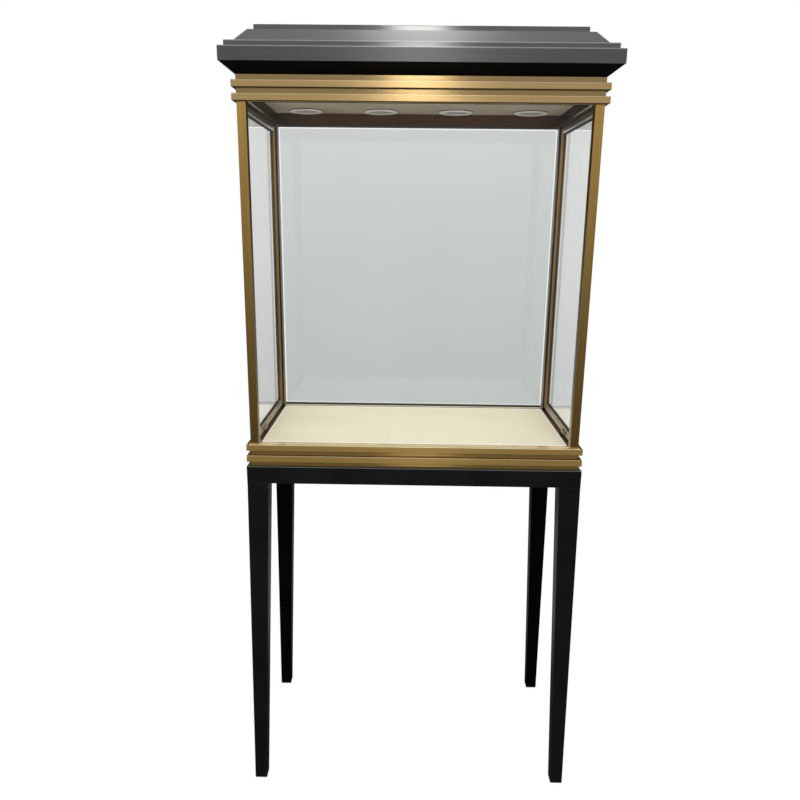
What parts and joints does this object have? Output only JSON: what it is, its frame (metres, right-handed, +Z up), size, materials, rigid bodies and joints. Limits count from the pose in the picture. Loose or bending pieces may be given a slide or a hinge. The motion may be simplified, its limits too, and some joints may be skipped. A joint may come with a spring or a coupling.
{
  "type": "jewelry display cabinet",
  "caption": "Free-standing glass display cabinet with gold frame, stepped dark roof, ceiling downlights, lockable framed side doors and tall splayed black legs.",
  "frame": {"origin": "on the floor, under the middle of the case", "axes": "+Z up, -Y towards the front, +X to the right of someone facing the front"},
  "size_m": [0.822, 0.482, 1.8],
  "materials": {
    "black_metal": "satin black powder coat",
    "bolt_steel": "zinc plated",
    "glide_plastic": "moulded black",
    "gold_metal": "hairline brushed, gold anodised",
    "cream_leatherette": "fine matt grain",
    "clear_glass": "clear tempered",
    "black_rubber": "extruded black",
    "bronze_sheet": "satin bronze",
    "white_trim": "satin white",
    "frosted_lens": "frosted",
    "lamp_aluminium": "die cast",
    "driver_plastic": "moulded black",
    "cable_sheath": "smooth black sheath",
    "roof_metal": "satin graphite paint",
    "bush_brass": "turned",
    "lock_chrome": "polished"
  },
  "bodies": {
    "cabinet": {"apron_front": "black_metal", "apron_rear": "black_metal", "apron_left": "black_metal", "apron_right": "black_metal", "leg_front_left": "black_metal", "leg_front_right": "black_metal", "leg_rear_left": "black_metal", "leg_rear_right": "black_metal", "leg_bolts": "bolt_steel", "leg_glides": "glide_plastic", "base_front": "gold_metal", "base_rear": "gold_metal", "base_left": "gold_metal", "base_right": "gold_metal", "floor_panel": "cream_leatherette", "post_front_left": "gold_metal", "post_front_right": "gold_metal", "post_rear_left": "gold_metal", "post_rear_right": "gold_metal", "post_bolts": "bolt_steel", "front_glass": "clear_glass", "rear_glass": "clear_glass", "glass_gaskets": "black_rubber", "frieze_front": "gold_metal", "frieze_rear": "gold_metal", "frieze_left": "gold_metal", "frieze_right": "gold_metal", "ceiling_panel": "bronze_sheet", "downlight_trims": "white_trim", "downlight_lenses": "frosted_lens", "downlight_housings": "lamp_aluminium", "led_driver": "driver_plastic", "lighting_cables": "cable_sheath", "power_inlet": "driver_plastic", "cornice_front": "roof_metal", "cornice_rear": "roof_metal", "cornice_left": "roof_metal", "cornice_right": "roof_metal", "hip_roof": "roof_metal", "roof_cap": "roof_metal", "roof_cap_screws": "bolt_steel", "door_pivot_pins": "bolt_steel"},
    "left_door": {"left_door_front_stile": "gold_metal", "left_door_rear_stile": "gold_metal", "left_door_top_rail": "gold_metal", "left_door_bottom_rail": "gold_metal", "left_door_glass": "clear_glass", "left_door_gasket": "black_rubber", "left_door_bushes": "bush_brass", "left_lock_barrel": "lock_chrome"},
    "left_lock": {"left_lock_cam": "bush_brass"},
    "right_door": {"right_door_front_stile": "gold_metal", "right_door_rear_stile": "gold_metal", "right_door_top_rail": "gold_metal", "right_door_bottom_rail": "gold_metal", "right_door_glass": "clear_glass", "right_door_gasket": "black_rubber", "right_door_bushes": "bush_brass", "right_lock_barrel": "lock_chrome"},
    "right_lock": {"right_lock_cam": "bush_brass"}
  },
  "joints": [
    {"name": "left_door_hinge", "type": "hinge", "parent": "cabinet", "child": "left_door", "pos_m": [-0.3755, 0.178, 1.2775], "axis": [0, 0, -1], "range_deg": [0, 105]},
    {"name": "left_lock_turn", "type": "hinge", "parent": "left_door", "child": "left_lock", "pos_m": [-0.375, -0.11, 0.9185], "axis": [-1, 0, 0], "range_deg": [0, 90]},
    {"name": "right_door_hinge", "type": "hinge", "parent": "cabinet", "child": "right_door", "pos_m": [0.3755, 0.178, 1.2775], "axis": [0, 0, 1], "range_deg": [0, 105]},
    {"name": "right_lock_turn", "type": "hinge", "parent": "right_door", "child": "right_lock", "pos_m": [0.375, -0.11, 0.9185], "axis": [-1, 0, 0], "range_deg": [0, 90]}
  ]
}
